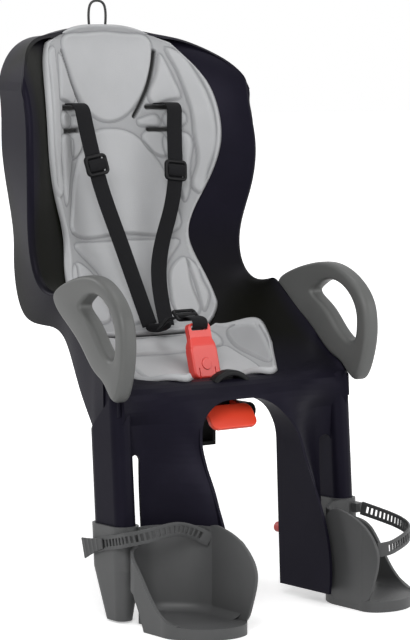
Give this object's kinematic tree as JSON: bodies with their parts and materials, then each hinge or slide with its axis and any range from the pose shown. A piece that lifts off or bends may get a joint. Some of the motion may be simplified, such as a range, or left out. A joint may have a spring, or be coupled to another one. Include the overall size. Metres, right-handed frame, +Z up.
{
  "type": "child bike seat",
  "caption": "Rear-mounted child bike seat: moulded bucket shell with leg guards, padded liner, harness, armrest loops and height-adjustable footrests.",
  "frame": {"origin": "centre of the flat underside of the carrier bracket's block, under the seat pan", "axes": "+Z up, the child faces -Y, +X is the child's left"},
  "size_m": [0.4234, 0.4798, 0.7898],
  "materials": {
    "shell_plastic": "fine textured satin black",
    "armrest_plastic": "satin mid grey",
    "pad_fabric": "quilted light cool grey",
    "webbing": "woven charcoal black",
    "black_plastic": "satin black",
    "buckle_red": "semi-gloss coral red",
    "lever_red": "semi-gloss orange red",
    "steel": "plain steel",
    "footrest_plastic": "satin dark grey",
    "button_red": "satin dull red",
    "strap_rubber": "matt dark grey",
    "cord": "braided black"
  },
  "bodies": {
    "seat": {"seat_shell": "shell_plastic", "armrest_left": "armrest_plastic", "armrest_right": "armrest_plastic", "back_pad": "pad_fabric", "seat_pad": "pad_fabric", "shoulder_strap_left": "webbing", "shoulder_strap_right": "webbing", "joined_strap": "webbing", "crotch_strap": "webbing", "strap_slider_left": "black_plastic", "strap_slider_right": "black_plastic", "strap_joiner": "black_plastic", "crotch_anchor": "black_plastic", "buckle_body": "buckle_red", "buckle_tongue": "buckle_red", "carrier_bracket": "black_plastic", "hang_loop": "cord"},
    "buckle_release": {"buckle_button": "buckle_red"},
    "lever": {"release_lever": "lever_red", "lever_pin": "steel"},
    "rest_left": {"footrest_left": "footrest_plastic", "foot_strap_left": "strap_rubber"},
    "rest_right": {"footrest_right": "footrest_plastic", "foot_strap_right": "strap_rubber"},
    "latch_left": {"height_button_left": "button_red"},
    "latch_right": {"height_button_right": "button_red"}
  },
  "joints": [
    {"name": "footrest_left_slide", "type": "slide", "parent": "seat", "child": "rest_left", "axis": [0, 0.0698, 0.9976], "range_m": [0, 0.03]},
    {"name": "footrest_right_slide", "type": "slide", "parent": "seat", "child": "rest_right", "axis": [0, 0.0698, 0.9976], "range_m": [0, 0.03]},
    {"name": "height_button_left_press", "type": "slide", "parent": "rest_left", "child": "latch_left", "axis": [0, -1, 0], "range_m": [0, 0.004], "stiffness_N_per_m": 400},
    {"name": "height_button_right_press", "type": "slide", "parent": "rest_right", "child": "latch_right", "axis": [0, -1, 0], "range_m": [0, 0.004], "stiffness_N_per_m": 400},
    {"name": "lever_lift", "type": "hinge", "parent": "seat", "child": "lever", "pos_m": [0, -0.052, 0.06], "axis": [-1, 0, 0], "range_deg": [0, 12], "stiffness_Nm_per_rad": 0.6},
    {"name": "buckle_press", "type": "slide", "parent": "seat", "child": "buckle_release", "axis": [0, 0.9636, -0.2672], "range_m": [0, 0.0015], "stiffness_N_per_m": 600}
  ]
}
